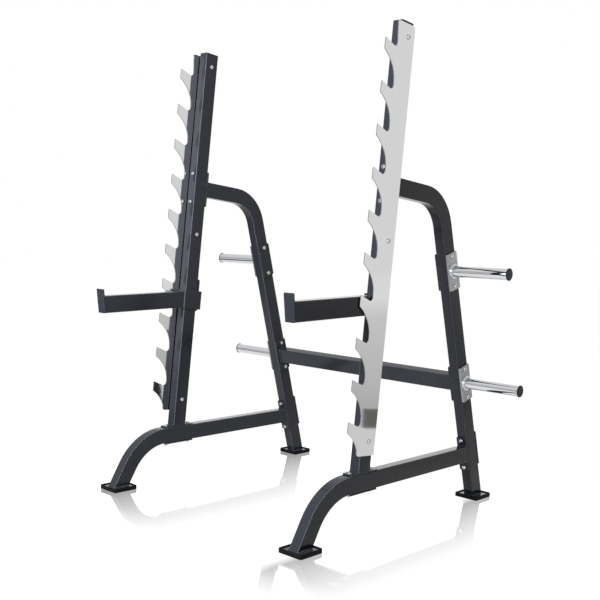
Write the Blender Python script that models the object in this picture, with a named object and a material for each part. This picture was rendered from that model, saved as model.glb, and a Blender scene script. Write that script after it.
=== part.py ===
"""Squat rack: two bent side frames, a crossbar, toothed bar hooks, plate horns and sliding safety arms.

Metres, +Z up. The lifter stands between the side frames and faces +Y. Each side frame is drawn
round its own centre plane, with the upright's front face meeting the floor at y = 0, and the
finished rack is then moved so that the origin lies on the floor, in the middle of its footprint.
"""
import math

import bmesh
import bpy
from mathutils import Matrix, Quaternion, Vector
from mathutils.geometry import intersect_line_line, intersect_line_plane

# Main sizes of the frame
FRAME_SPACING = 1.190
UPRIGHT_LENGTH = 2.106
UPRIGHT_LEAN = math.radians(5.04)
LEG_TILT = math.radians(16.08)
FRONT_LEG_TILT = math.radians(30.0)
FRONT_FOOT_Y = -0.292
REAR_FOOT_Y = 0.941
BASE_TOP = 0.262
TOP_ARM_HEIGHT = 1.452
LEG_BEND_RADIUS = 0.175

# Tube and plate stock
TUBE_WIDTH = 0.050
TUBE_DEPTH = 0.075
TUBE_WALL = 0.003
TUBE_CORNER = 0.004
INSIDE_CORNER = 0.001
JOINT_PLATE_LENGTH = 0.170
JOINT_PLATE = 0.008
THIN_PLATE = 0.006
PLATE_CORNER = 0.004
JOINT_BOLT_SPACING = 0.138
VENT_RADIUS = 0.005
SEAT_SHIFT = 0.003
SEAT_TO_BEND = 0.002

# Feet
PAD_LENGTH = 0.1275
PAD_WIDTH = 0.1235
PAD_HEIGHT = 0.019
PAD_FLOOR = 0.008
PAD_RIM = 0.006
PAD_CORNER = 0.009

# Toothed hook plates
HOOK_PLATE = 0.0045
HOOK_STANDOFF = 0.0038
HOOK_TOP_DROP = 0.007
HOOK_BOTTOM = 0.342
FIRST_TIP_DROP = 0.089
HOOK_PITCH = 0.1696
HOOK_REACH = 0.1045
HOOK_NOSE = 0.043
HOOK_LIP_SLOPE = math.radians(19.0)
HOOK_ROOT = 0.027
HOOK_POCKET_RADIUS = 0.017
HOOK_END_FRONT = 0.034
HOOK_OVERHANG = 0.002
HOOK_TAIL = 0.119
HOOK_NOSE_SLOPE = math.radians(58.6)
HOOK_CORNER = 0.009
HOOK_TIP_ROUND = 0.003
HOOK_BOLT_TOP = 0.052
HOOK_BOLT_BOTTOM = 0.060
HOOK_SPACER_RADIUS = 0.010

# Plate horns, by their places up the rear leg
HORN_PLACES = {"upper": 1.1365, "lower": 0.5974}
HORN_RADIUS = 0.025
HORN_WALL = 0.0025
HORN_REACH = 0.283
HORN_PLATE_WIDTH = 0.075
HORN_RING_RADIUS = 0.034
HORN_RING = 0.005
HORN_CAP = 0.004
HORN_CAP_RADIUS = 0.027
CAP_PLUG = 0.018
UPRIGHT_CAP = 0.005

# Safety arms; the two rest at different heights
ARM_REST = {"left": 0.900, "right": 0.960}
ARM_DEPTH = 0.080
ARM_REACH = 0.463
ARM_DROOP = math.radians(1.5)
STOP_HEIGHT = 0.112
STOP_LEAN = math.radians(5.5)
STOP_PLATE = 0.008
DRAIN_RADIUS = 0.004
DRAIN_FROM_STOP = 0.030
COLLAR_HEIGHT = 0.091
COLLAR_WALL = 0.0062
COLLAR_STRAP = 0.0022
COLLAR_REAR_WALL = 0.013
COLLAR_CORNER = 0.003
COLLAR_CUT = 0.0130
COLLAR_CUT_SLOPE = 1.28
COLLAR_CUT_WALL = 0.004
COLLAR_RUN = 0.0008
BEARING_PAD = 0.010
BEARING_BELOW = 0.054
BEARING_ABOVE = 0.104
BEARING_CORNER = 0.008

# Fasteners
BOLT_RADIUS = 0.005
BOLT_HOLE_PLAY = 0.0005
BUTTON_RADIUS = 0.0100
BUTTON_TOP_RADIUS = 0.0065
BUTTON_HEIGHT = 0.0055
NUT_HALF_WIDTH = 0.0085
NUT_HEIGHT = 0.008
BOLT_END = 0.003

# Fits and facets
GAP = 0.0003
LIP = 0.001
LARGEST_CORNER_SHARE = 0.45
CORNER_STEPS = 2
BEND_STEPS = 9
POCKET_STEPS = 6
NOSE_STEPS = 6
ROUND_SIDES = 20
HOLE_SIDES = 8
BOLT_SIDES = 12
SMOOTH_BELOW = math.radians(35.0)

SIDES = {"left": -1, "right": 1}
X_AXIS = Vector((1.0, 0.0, 0.0))
UP = Vector((0.0, 0.0, 1.0))

# Each finish: base colour, metallic and roughness
POWDER_COAT = ((0.030, 0.032, 0.038, 1.0), 0.0, 0.42)
BRUSHED_STEEL = ((0.62, 0.62, 0.62, 1.0), 1.0, 0.34)
CHROME = ((0.74, 0.75, 0.76, 1.0), 1.0, 0.10)
ZINC = ((0.50, 0.51, 0.52, 1.0), 1.0, 0.36)
BLACK_RUBBER = ((0.012, 0.012, 0.013, 1.0), 0.0, 0.72)
BLACK_PLASTIC = ((0.014, 0.014, 0.016, 1.0), 0.0, 0.50)

# Turn a shape drawn in XY with its thickness along Z, so that the thickness runs along X or Y
ALONG_X = Matrix(((0, 0, 1, 0), (1, 0, 0, 0), (0, 1, 0, 0), (0, 0, 0, 1)))
ALONG_Y = Matrix(((-1, 0, 0, 0), (0, 0, 1, 0), (0, 1, 0, 0), (0, 0, 0, 1)))

UPRIGHT_FRAME = Matrix.Rotation(-UPRIGHT_LEAN, 4, "X")
LEG_FRAME = Matrix.Translation((0.0, REAR_FOOT_Y, 0.0)) @ Matrix.Rotation(LEG_TILT, 4, "X")


def clear_scene():
    for old in list(bpy.data.objects):
        bpy.data.objects.remove(old, do_unlink=True)


# Outlines and solids

def at(x=0.0, y=0.0, z=0.0):
    return Matrix.Translation((x, y, z))


def circle(radius, sides=ROUND_SIDES):
    return [
        (radius * math.cos(math.tau * step / sides), radius * math.sin(math.tau * step / sides))
        for step in range(sides)
    ]


def arc(centre, radius, start, end, steps):
    """Points of an arc, both ends included, by angles from the first axis."""
    points = []
    for step in range(steps + 1):
        angle = start + (end - start) * step / steps
        points.append((centre[0] + radius * math.cos(angle), centre[1] + radius * math.sin(angle)))
    return points


def rounded_rectangle(width, depth, radius, middle=(0.0, 0.0)):
    """A rectangle about a middle point. Its corners never take more than their share of a side."""
    radius = min(radius, LARGEST_CORNER_SHARE * min(width, depth))
    across, along = width / 2 - radius, depth / 2 - radius
    corners = [(across, along), (-across, along), (-across, -along), (across, -along)]
    points = []
    for quarter, corner in enumerate(corners):
        centre = (middle[0] + corner[0], middle[1] + corner[1])
        start = quarter * math.pi / 2
        points += arc(centre, radius, start, start + math.pi / 2, CORNER_STEPS)
    return points


def solid(name, outer, stations, inner=None):
    """Carry a flat section through affine stations. An inner outline leaves the section hollow."""
    work = bmesh.new()
    ring = [work.verts.new(stations[0] @ Vector((u, v, 0.0))) for u, v in outer]
    if inner is None:
        faces = [work.faces.new(ring)]
    else:
        hollow = [work.verts.new(stations[0] @ Vector((u, v, 0.0))) for u, v in inner]
        count = len(ring)
        faces = [
            work.faces.new((ring[k], ring[(k + 1) % count], hollow[(k + 1) % count], hollow[k]))
            for k in range(count)
        ]
    for before, after in zip(stations, stations[1:]):
        edges = list({edge for face in faces for edge in face.edges})
        grown = bmesh.ops.extrude_face_region(work, geom=faces + edges)["geom"]
        faces = [part for part in grown if isinstance(part, bmesh.types.BMFace)]
        moved = [part for part in grown if isinstance(part, bmesh.types.BMVert)]
        bmesh.ops.transform(work, matrix=after @ before.inverted(), verts=moved)
    bmesh.ops.recalc_face_normals(work, faces=work.faces)
    mesh = bpy.data.meshes.new(name)
    work.to_mesh(mesh)
    work.free()
    thing = bpy.data.objects.new(name, mesh)
    bpy.context.scene.collection.objects.link(thing)
    return thing


def slab(name, outline, low, high, frame):
    return solid(name, outline, [frame @ at(z=low), frame @ at(z=high)])


def rod(name, radius, low, high, frame, sides=HOLE_SIDES):
    return slab(name, circle(radius, sides), low, high, frame)


def combined(body, others, operation):
    """Join others to a body, or cut them out of it, in one step, and keep the plain result."""
    group = bpy.data.collections.new("others")
    for other in others:
        group.objects.link(other)
    step = body.modifiers.new(operation, "BOOLEAN")
    step.operation = operation
    step.solver = "EXACT"
    step.operand_type = "COLLECTION"
    step.collection = group
    bpy.context.view_layer.update()
    evaluated = body.evaluated_get(bpy.context.evaluated_depsgraph_get())
    result = bpy.data.meshes.new_from_object(evaluated)
    body.modifiers.clear()
    body.data = result
    for other in others:
        bpy.data.objects.remove(other, do_unlink=True)
    bpy.data.collections.remove(group)
    return body


def joined(body, others):
    return combined(body, others, "UNION")


def drilled(body, cutters):
    return combined(body, cutters, "DIFFERENCE")


def node(thing, name, finish, parent, frame=Matrix.Identity(4)):
    """Give a solid its name, its own material and an origin at its frame."""
    colour, metallic, roughness = finish
    thing.name = name
    thing.data.name = name
    thing.data.transform(frame.inverted())
    thing.matrix_basis = frame
    thing.parent = parent
    material = bpy.data.materials.new(name)
    material.use_nodes = True
    shader = material.node_tree.nodes["Principled BSDF"]
    shader.inputs["Base Color"].default_value = colour
    shader.inputs["Metallic"].default_value = metallic
    shader.inputs["Roughness"].default_value = roughness
    thing.data.materials.clear()
    thing.data.materials.append(material)
    thing.data.shade_smooth()
    thing.data.set_sharp_from_angle(angle=SMOOTH_BELOW)
    return thing


def empty(name, parent, frame):
    holder = bpy.data.objects.new(name, None)
    bpy.context.scene.collection.objects.link(holder)
    holder.parent = parent
    holder.matrix_basis = frame
    return holder


def outward(side, low, high):
    """Two distances out from a side frame's centre plane, in rising order of x."""
    return sorted((side * low, side * high))


# Tubes

def station(place, along):
    """Where a tube's section stands: its width on X and its depth square to the way it runs."""
    over = X_AXIS.cross(along)
    frame = Matrix((X_AXIS, over, along)).transposed().to_4x4()
    frame.translation = place
    return frame


def mitred(stand, along, normal):
    """A station whose section is slid along the tube into a plane with this normal."""
    slanted = stand.copy()
    for column in (0, 1):
        axis = slanted.col[column].to_3d()
        axis -= along * axis.dot(normal) / along.dot(normal)
        slanted.col[column] = (*axis, 0.0)
    return slanted


def elbow(start, corner, end, radius):
    """Stations from start to end with one round corner."""
    before = (corner - start).normalized()
    after = (end - corner).normalized()
    axis, turn = before.rotation_difference(after).to_axis_angle()
    first = corner - before * radius * math.tan(turn / 2)
    centre = first + axis.cross(before) * radius
    stations = [station(start, before)]
    for step in range(BEND_STEPS + 1):
        swing = Quaternion(axis, turn * step / BEND_STEPS)
        place = centre + swing @ (first - centre)
        stations.append(station(place, swing @ before))
    stations.append(station(end, after))
    return stations


def hollow_tube(name, stations, width=TUBE_WIDTH, depth=TUBE_DEPTH):
    outer = rounded_rectangle(width, depth, TUBE_CORNER)
    inner = rounded_rectangle(width - 2 * TUBE_WALL, depth - 2 * TUBE_WALL, INSIDE_CORNER)
    return solid(name, outer, stations, inner)


# Fasteners

def bolt_sizes(radius, hexagonal):
    """A ring of a turned piece, or of a hexagon drawn with a point halfway along each flat."""
    points = []
    for step, (u, v) in enumerate(circle(radius, BOLT_SIDES)):
        swell = 1.0 / math.cos(math.pi / 6) if hexagonal and step % 2 == 0 else 1.0
        points.append((u * swell, v * swell))
    return points


def fastener(name, frame, grip, spacer, nut_end, parent):
    """A button-headed bolt along -Z of its frame, from the face that its head bears on.

    The far end carries a second button, or a nut. A spacer is a pair of depths between which a
    sleeve goes round the shank.
    """
    rings = [(GAP + BUTTON_HEIGHT, BUTTON_TOP_RADIUS, False)]
    rings.append((GAP, BUTTON_RADIUS, False))
    rings.append((GAP, BOLT_RADIUS, False))
    if spacer:
        near, far = spacer
        rings.append((-near - GAP, BOLT_RADIUS, False))
        rings.append((-near - GAP, HOOK_SPACER_RADIUS, False))
        rings.append((-far + GAP, HOOK_SPACER_RADIUS, False))
        rings.append((-far + GAP, BOLT_RADIUS, False))
    far_face = -grip - GAP
    rings.append((far_face, BOLT_RADIUS, False))
    if nut_end:
        rings.append((far_face, NUT_HALF_WIDTH, True))
        rings.append((far_face - NUT_HEIGHT, NUT_HALF_WIDTH, True))
        rings.append((far_face - NUT_HEIGHT, BOLT_RADIUS, False))
        rings.append((far_face - NUT_HEIGHT - BOLT_END, BOLT_RADIUS, False))
    else:
        rings.append((far_face, BUTTON_RADIUS, False))
        rings.append((far_face - BUTTON_HEIGHT, BUTTON_TOP_RADIUS, False))
    work = bmesh.new()
    loops = []
    for height, radius, hexagonal in rings:
        loops.append([work.verts.new((u, v, height)) for u, v in bolt_sizes(radius, hexagonal)])
    work.faces.new(loops[0])
    work.faces.new(loops[-1])
    for upper, lower in zip(loops, loops[1:]):
        for step in range(BOLT_SIDES):
            after = (step + 1) % BOLT_SIDES
            work.faces.new((upper[step], upper[after], lower[after], lower[step]))
    bmesh.ops.recalc_face_normals(work, faces=work.faces)
    mesh = bpy.data.meshes.new(name)
    work.to_mesh(mesh)
    work.free()
    bolt = bpy.data.objects.new(name, mesh)
    bpy.context.scene.collection.objects.link(bolt)
    bolt.data.transform(frame)
    return node(bolt, name, ZINC, parent, frame)


def bolt_hole(frame, depth):
    """A cutter along -Z of a bolt's frame, running past both ends of a stated depth."""
    return rod("hole", BOLT_RADIUS + BOLT_HOLE_PLAY, -depth - LIP, LIP, frame)


def facing(direction):
    """The turn that points a bolt's head along +X, -X, +Y, -Y or +Z of a frame."""
    return Vector((0.0, 0.0, 1.0)).rotation_difference(Vector(direction)).to_matrix().to_4x4()


# Places shared by the pieces of one side frame

def foot_plate_bottom():
    return PAD_FLOOR + GAP


def weld_height():
    """Where a tube's foot ends, halfway through the plate that it is welded to."""
    return foot_plate_bottom() + THIN_PLATE / 2


def front_leg_direction():
    return Vector((0.0, math.sin(FRONT_LEG_TILT), math.cos(FRONT_LEG_TILT)))


def leg_direction():
    """Down the rear leg."""
    return -(LEG_FRAME.to_3x3() @ UP)


def foot_centre(which):
    """Where a foot's tube stands on its plate."""
    top = foot_plate_bottom() + THIN_PLATE
    if which == "front":
        return FRONT_FOOT_Y + top * math.tan(FRONT_LEG_TILT)
    return REAR_FOOT_Y - top * math.tan(LEG_TILT)


def seat_bottom():
    return BASE_TOP + GAP


def upright_middle(height):
    """The point of the upright's centre line at a height above the floor."""
    lift = TUBE_DEPTH / 2 * math.sin(UPRIGHT_LEAN)
    return UPRIGHT_FRAME @ Vector((0.0, TUBE_DEPTH / 2, (height + lift) / math.cos(UPRIGHT_LEAN)))


def seat_centre_y():
    """The seat plate lies a little behind the middle of the upright."""
    return upright_middle(seat_bottom() + THIN_PLATE).y + SEAT_SHIFT


def base_centre_height():
    return BASE_TOP - TUBE_DEPTH / 2


def base_flange_middle():
    """The point where the base tube's centre line ends, inside its rear flange."""
    height = base_centre_height()
    behind = LEG_FRAME @ Vector((0.0, -(TUBE_DEPTH / 2 + GAP + JOINT_PLATE / 2), 0.0))
    normal = LEG_FRAME.to_3x3() @ Vector((0.0, 1.0, 0.0))
    start = Vector((0.0, 0.0, height))
    return intersect_line_plane(start, start + Vector((0.0, 1.0, 0.0)), behind, normal)


def base_joint_height():
    """Up the leg, where the base tube's centre line meets it."""
    return (LEG_FRAME.inverted() @ base_flange_middle()).z


def hook_outer_face():
    return TUBE_WIDTH / 2 + HOOK_STANDOFF + HOOK_PLATE


def hook_plate_top():
    return UPRIGHT_LENGTH - HOOK_TOP_DROP


def hook_bolt_heights():
    top = hook_plate_top() - HOOK_BOLT_TOP
    bottom = HOOK_BOTTOM + HOOK_BOLT_BOTTOM
    return {"upper": top, "middle": (top + bottom) / 2, "lower": bottom}


def horn_plate_face():
    """Out from the leg's centre plane to the outer face of a horn's plate."""
    return TUBE_WIDTH / 2 + GAP + JOINT_PLATE


def joint_pair():
    return {"upper": JOINT_BOLT_SPACING / 2, "lower": -JOINT_BOLT_SPACING / 2}


# Where each kind of fastener goes: the frame of its head and the thickness that it grips

def hook_bolt_frames(side):
    face = hook_outer_face()
    grip = face + TUBE_WIDTH / 2
    return {
        name: (UPRIGHT_FRAME @ at(side * face, TUBE_DEPTH / 2, height) @ facing((side, 0, 0)), grip)
        for name, height in hook_bolt_heights().items()
    }


def top_arm_bolt_frames():
    grip = TUBE_DEPTH + GAP + JOINT_PLATE
    return {
        name: (UPRIGHT_FRAME @ at(z=TOP_ARM_HEIGHT + offset) @ facing((0, -1, 0)), grip)
        for name, offset in joint_pair().items()
    }


def seat_bolt_frames():
    top = seat_bottom() + THIN_PLATE
    grip = THIN_PLATE + GAP + TUBE_DEPTH + GAP + THIN_PLATE
    places = {"front": -JOINT_BOLT_SPACING / 2, "rear": JOINT_BOLT_SPACING / 2}
    return {name: (at(y=seat_centre_y() + offset, z=top), grip) for name, offset in places.items()}


def base_joint_bolt_frames():
    face = -(TUBE_DEPTH / 2 + GAP + JOINT_PLATE)
    grip = TUBE_DEPTH + 2 * (GAP + JOINT_PLATE)
    return {
        name: (LEG_FRAME @ at(y=face, z=base_joint_height() + offset) @ facing((0, -1, 0)), grip)
        for name, offset in joint_pair().items()
    }


def horn_bolt_frames(side, level):
    grip = horn_plate_face() + TUBE_WIDTH / 2 + GAP + JOINT_PLATE
    height = HORN_PLACES[level]
    return {
        name: (LEG_FRAME @ at(side * horn_plate_face(), 0, height + offset) @ facing((side, 0, 0)), grip)
        for name, offset in joint_pair().items()
    }


def holes(frames):
    return [bolt_hole(frame, grip) for frame, grip in frames.values()]


# Pieces of a side frame

def foot_plate(which):
    middle = (0.0, foot_centre(which))
    inside = 2 * (PAD_RIM + GAP)
    corner = PAD_CORNER - PAD_RIM
    outline = rounded_rectangle(PAD_WIDTH - inside, PAD_LENGTH - inside, corner, middle)
    bottom = foot_plate_bottom()
    return slab("foot_plate", outline, bottom, bottom + THIN_PLATE, Matrix.Identity(4))


def foot_pad(name, which, parent):
    """A rubber tray that the foot plate sits in."""
    place = at(y=foot_centre(which))
    pad = slab(name, rounded_rectangle(PAD_WIDTH, PAD_LENGTH, PAD_CORNER), 0.0, PAD_HEIGHT, place)
    inner_corner = PAD_CORNER - PAD_RIM
    room = rounded_rectangle(PAD_WIDTH - 2 * PAD_RIM, PAD_LENGTH - 2 * PAD_RIM, inner_corner)
    drilled(pad, [slab("room", room, PAD_FLOOR, PAD_HEIGHT + LIP, place)])
    node(pad, name, BLACK_RUBBER, parent, place)


def joint_outline(width=TUBE_WIDTH, middle=(0.0, 0.0)):
    return rounded_rectangle(width, JOINT_PLATE_LENGTH, PLATE_CORNER, middle)


def base_tube(name, parent):
    """Foot, bend and level run in one tube, with its foot plate and its rear flange welded on."""
    height = base_centre_height()
    foot = Vector((0.0, FRONT_FOOT_Y + weld_height() * math.tan(FRONT_LEG_TILT), weld_height()))
    corner = Vector((0.0, FRONT_FOOT_Y + height * math.tan(FRONT_LEG_TILT), height))
    end = base_flange_middle()
    bend_start = seat_centre_y() - JOINT_PLATE_LENGTH / 2 - SEAT_TO_BEND
    turn = math.pi / 2 - FRONT_LEG_TILT
    radius = (bend_start - corner.y) / math.tan(turn / 2)
    stations = elbow(foot, corner, end, radius)
    leg_normal = LEG_FRAME.to_3x3() @ Vector((0.0, 1.0, 0.0))
    stations[0] = mitred(stations[0], front_leg_direction(), UP)
    stations[-1] = mitred(stations[-1], Vector((0.0, 1.0, 0.0)), leg_normal)
    tube = hollow_tube(name, stations)
    face = -(TUBE_DEPTH / 2 + GAP)
    flange_frame = LEG_FRAME @ at(z=base_joint_height()) @ ALONG_Y
    flange = slab("flange", joint_outline(), face - JOINT_PLATE, face, flange_frame)
    joined(tube, [foot_plate("front"), flange])
    drilled(tube, holes(seat_bolt_frames()) + holes(base_joint_bolt_frames()))
    node(tube, name, POWDER_COAT, parent, at(y=foot.y))


def rear_leg(name, side, parent):
    """Top arm, bend and leg in one tube, with its flange and its foot plate welded on."""
    face = TUBE_DEPTH + GAP
    start = UPRIGHT_FRAME @ Vector((0.0, face + JOINT_PLATE / 2, TOP_ARM_HEIGHT))
    rearward = UPRIGHT_FRAME.to_3x3() @ Vector((0.0, 1.0, 0.0))
    foot = Vector((0.0, REAR_FOOT_Y - weld_height() * math.tan(LEG_TILT), weld_height()))
    corner = intersect_line_line(start, start + rearward, foot, foot - leg_direction())[0]
    stations = elbow(start, corner, foot, LEG_BEND_RADIUS)
    stations[-1] = mitred(stations[-1], leg_direction(), UP)
    tube = hollow_tube(name, stations)
    flange_frame = UPRIGHT_FRAME @ at(z=TOP_ARM_HEIGHT) @ ALONG_Y
    flange = slab("flange", joint_outline(), face, face + JOINT_PLATE, flange_frame)
    joined(tube, [foot_plate("rear"), flange])
    cutters = holes(top_arm_bolt_frames()) + holes(base_joint_bolt_frames())
    for level in HORN_PLACES:
        cutters += holes(horn_bolt_frames(side, level))
    drilled(tube, cutters)
    node(tube, name, POWDER_COAT, parent, LEG_FRAME)


def upright(name, side, parent):
    """A leaning tube, welded by its foot to the plate that seats it on the base tube."""
    along = UPRIGHT_FRAME.to_3x3() @ UP
    foot = upright_middle(seat_bottom() + THIN_PLATE / 2)
    top = UPRIGHT_FRAME @ Vector((0.0, TUBE_DEPTH / 2, UPRIGHT_LENGTH))
    stations = [mitred(station(foot, along), along, UP), station(top, along)]
    tube = hollow_tube(name, stations)
    seat_outline = joint_outline(middle=(0.0, seat_centre_y()))
    seat = slab("seat", seat_outline, seat_bottom(), seat_bottom() + THIN_PLATE, Matrix.Identity(4))
    joined(tube, [seat])
    cutters = holes(seat_bolt_frames()) + holes(top_arm_bolt_frames()) + holes(hook_bolt_frames(side))
    drilled(tube, cutters)
    node(tube, name, POWDER_COAT, parent, UPRIGHT_FRAME)


def upright_cap(name, parent):
    """A plastic cap with a plug that fills the tube's mouth."""
    frame = UPRIGHT_FRAME @ at(y=TUBE_DEPTH / 2, z=UPRIGHT_LENGTH)
    lid = slab(name, rounded_rectangle(TUBE_WIDTH, TUBE_DEPTH, TUBE_CORNER), GAP, UPRIGHT_CAP, frame)
    inside = 2 * (TUBE_WALL + GAP)
    plug_outline = rounded_rectangle(TUBE_WIDTH - inside, TUBE_DEPTH - inside, TUBE_WALL)
    plug = slab("plug", plug_outline, -CAP_PLUG, GAP + LIP, frame)
    node(joined(lid, [plug]), name, BLACK_PLASTIC, parent, frame)


def tooth(tip):
    """One tooth's edge from its pocket's back to the foot of its underside, going down.

    Points are (forward, along): forward of the upright's front face, and up along it.
    """
    pocket = (HOOK_ROOT + HOOK_POCKET_RADIUS, tip)
    lip = 3 * math.pi / 2 + HOOK_LIP_SLOPE
    edge = arc(pocket, HOOK_POCKET_RADIUS, math.pi, lip, POCKET_STEPS)
    rise = (HOOK_REACH - edge[-1][0]) * math.tan(HOOK_LIP_SLOPE)
    nose_top = edge[-1][1] + rise
    edge.append((HOOK_REACH - HOOK_TIP_ROUND, nose_top - HOOK_TIP_ROUND * math.tan(HOOK_LIP_SLOPE)))
    edge.append((HOOK_REACH, nose_top - HOOK_TIP_ROUND))
    nose_bottom = tip - HOOK_NOSE
    start = Vector((HOOK_REACH, nose_bottom))
    bend = Vector((HOOK_ROOT, nose_bottom - (HOOK_REACH - HOOK_ROOT) / math.tan(HOOK_NOSE_SLOPE)))
    end = Vector((HOOK_ROOT, nose_bottom - HOOK_TAIL))
    for step in range(NOSE_STEPS + 1):
        share = step / NOSE_STEPS
        place = start * (1 - share) ** 2 + bend * 2 * share * (1 - share) + end * share ** 2
        edge.append(tuple(place))
    return edge


def hook_outline():
    """The whole toothed plate, as (rearward, along) points of the upright's frame."""
    top = hook_plate_top()
    first_tip = top - FIRST_TIP_DROP
    pitches = math.floor((first_tip - HOOK_BOTTOM - HOOK_TAIL) / HOOK_PITCH)
    corner = HOOK_CORNER
    front = [(HOOK_END_FRONT - corner / 2, top), (HOOK_END_FRONT, top - corner / 2)]
    for number in range(pitches + 1):
        front += tooth(first_tip - number * HOOK_PITCH)
    kept = [point for point in front if point[1] > HOOK_BOTTOM + corner + LIP]
    last = kept[-1][0]
    outline = kept + [(last, HOOK_BOTTOM + corner), (last - corner, HOOK_BOTTOM)]
    rear = -TUBE_DEPTH - HOOK_OVERHANG
    outline += [(rear, HOOK_BOTTOM), (rear, top - corner), (rear + corner, top)]
    return [(-forward, along) for forward, along in outline]


def hook_plate(name, side, parent):
    low, high = outward(side, TUBE_WIDTH / 2 + HOOK_STANDOFF, hook_outer_face())
    plate = slab(name, hook_outline(), low, high, UPRIGHT_FRAME @ ALONG_X)
    drilled(plate, holes(hook_bolt_frames(side)))
    node(plate, name, BRUSHED_STEEL, parent, UPRIGHT_FRAME)


def seat_backing_plate(name, parent):
    """The plate under the base tube that the seat's bolts pull against."""
    top = BASE_TOP - TUBE_DEPTH - GAP
    outline = joint_outline(middle=(0.0, seat_centre_y()))
    plate = slab(name, outline, top - THIN_PLATE, top, Matrix.Identity(4))
    drilled(plate, holes(seat_bolt_frames()))
    node(plate, name, POWDER_COAT, parent, at(y=seat_centre_y(), z=top))


def base_backing_plate(name, parent):
    """The plate behind the rear leg that the base tube's bolts pull against."""
    face = TUBE_DEPTH / 2 + GAP
    frame = LEG_FRAME @ at(z=base_joint_height())
    plate = slab(name, joint_outline(), face, face + JOINT_PLATE, frame @ ALONG_Y)
    drilled(plate, holes(base_joint_bolt_frames()))
    node(plate, name, POWDER_COAT, parent, frame)


def horn(name, side, level, parent):
    """A chrome tube for stored plates, with its root ring and its bolted plate."""
    frame = LEG_FRAME @ at(z=HORN_PLACES[level])
    face = horn_plate_face()
    tip = face + HORN_REACH - HORN_CAP - GAP
    low, high = outward(side, TUBE_WIDTH / 2 + GAP, face)
    plate = slab(name, joint_outline(HORN_PLATE_WIDTH), low, high, frame @ ALONG_X)
    weld = face - JOINT_PLATE / 2
    low, high = outward(side, weld, tip)
    ends = [frame @ ALONG_X @ at(z=low), frame @ ALONG_X @ at(z=high)]
    tube = solid("tube", circle(HORN_RADIUS), ends, circle(HORN_RADIUS - HORN_WALL))
    low, high = outward(side, weld, face + HORN_RING)
    ends = [frame @ ALONG_X @ at(z=low), frame @ ALONG_X @ at(z=high)]
    ring = solid("ring", circle(HORN_RING_RADIUS), ends, circle(HORN_RADIUS - HORN_WALL / 2))
    joined(plate, [tube, ring])
    drilled(plate, holes(horn_bolt_frames(side, level)))
    node(plate, name, CHROME, parent, frame)


def horn_cap(name, side, level, parent):
    """A plastic cap with a flange a little wider than the horn, and a plug inside its mouth."""
    frame = LEG_FRAME @ at(z=HORN_PLACES[level])
    tip = horn_plate_face() + HORN_REACH
    low, high = outward(side, tip - HORN_CAP, tip)
    lid = rod(name, HORN_CAP_RADIUS, low, high, frame @ ALONG_X, ROUND_SIDES)
    plug_radius = HORN_RADIUS - HORN_WALL - GAP
    low, high = outward(side, tip - HORN_CAP - CAP_PLUG, tip - HORN_CAP + LIP)
    plug = rod("plug", plug_radius, low, high, frame @ ALONG_X, ROUND_SIDES)
    node(joined(lid, [plug]), name, BLACK_PLASTIC, parent, frame @ at(x=side * tip))


def horn_backing_plate(name, side, parent):
    """The plate inside the leg's inner face that the upper horn's bolts pull against."""
    frame = LEG_FRAME @ at(z=HORN_PLACES["upper"])
    face = TUBE_WIDTH / 2 + GAP
    low, high = outward(-side, face, face + JOINT_PLATE)
    plate = slab(name, joint_outline(HORN_PLATE_WIDTH), low, high, frame @ ALONG_X)
    vent = rod("vent", VENT_RADIUS, low - LIP, high + LIP, frame @ ALONG_X)
    drilled(plate, holes(horn_bolt_frames(side, "upper")) + [vent])
    node(plate, name, POWDER_COAT, parent, frame)


def crossbar(name, parent):
    """The tube that ties the two rear legs, turned to their tilt, between two bolted flanges."""
    frame = LEG_FRAME @ at(z=HORN_PLACES["lower"])
    face = FRAME_SPACING / 2 - TUBE_WIDTH / 2 - GAP
    weld = face - JOINT_PLATE / 2
    ends = [frame @ ALONG_X @ at(z=-weld), frame @ ALONG_X @ at(z=weld)]
    tube = hollow_tube(name, ends)
    flanges = []
    cutters = []
    for side in SIDES.values():
        low, high = outward(side, face - JOINT_PLATE, face)
        flanges.append(slab("flange", joint_outline(HORN_PLATE_WIDTH), low, high, frame @ ALONG_X))
        cutters.append(rod("vent", VENT_RADIUS, low - LIP, high + LIP, frame @ ALONG_X))
        for place, grip in horn_bolt_frames(side, "lower").values():
            cutters.append(bolt_hole(at(x=side * FRAME_SPACING / 2) @ place, grip))
    joined(tube, flanges)
    drilled(tube, cutters)
    node(tube, name, POWDER_COAT, parent, frame)


# Safety arms; each is drawn in the frame of its slide, whose Z runs along the upright

def arm_frame():
    """The arm droops a little below the level, from a slide that leans with the upright."""
    return Matrix.Rotation(UPRIGHT_LEAN + ARM_DROOP, 4, "X")


def stop_frame():
    """The bottom of the stop plate's rear face, with Z up the leaning plate."""
    return arm_frame() @ at(y=-ARM_REACH, z=-ARM_DEPTH / 2) @ Matrix.Rotation(STOP_LEAN, 4, "X")


def collar_room():
    """The sleeve's inside and outside, as (low x, high x, front y, rear y) round the upright."""
    half = TUBE_WIDTH / 2 + COLLAR_RUN
    rear = TUBE_DEPTH + COLLAR_RUN + BEARING_PAD + GAP
    inside = (-half, half, -COLLAR_RUN, rear)
    outside = (-half - COLLAR_WALL, half + COLLAR_STRAP, -COLLAR_RUN - COLLAR_WALL, rear + COLLAR_REAR_WALL)
    return inside, outside


def inside_cut():
    """How far the cut corner of the sleeve's inside reaches, for an even wall behind the cut."""
    wall = COLLAR_CUT_WALL * math.hypot(1.0, COLLAR_CUT_SLOPE) / COLLAR_CUT_SLOPE
    return max(LIP, COLLAR_CUT + wall - COLLAR_STRAP - COLLAR_REAR_WALL / COLLAR_CUT_SLOPE)


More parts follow.
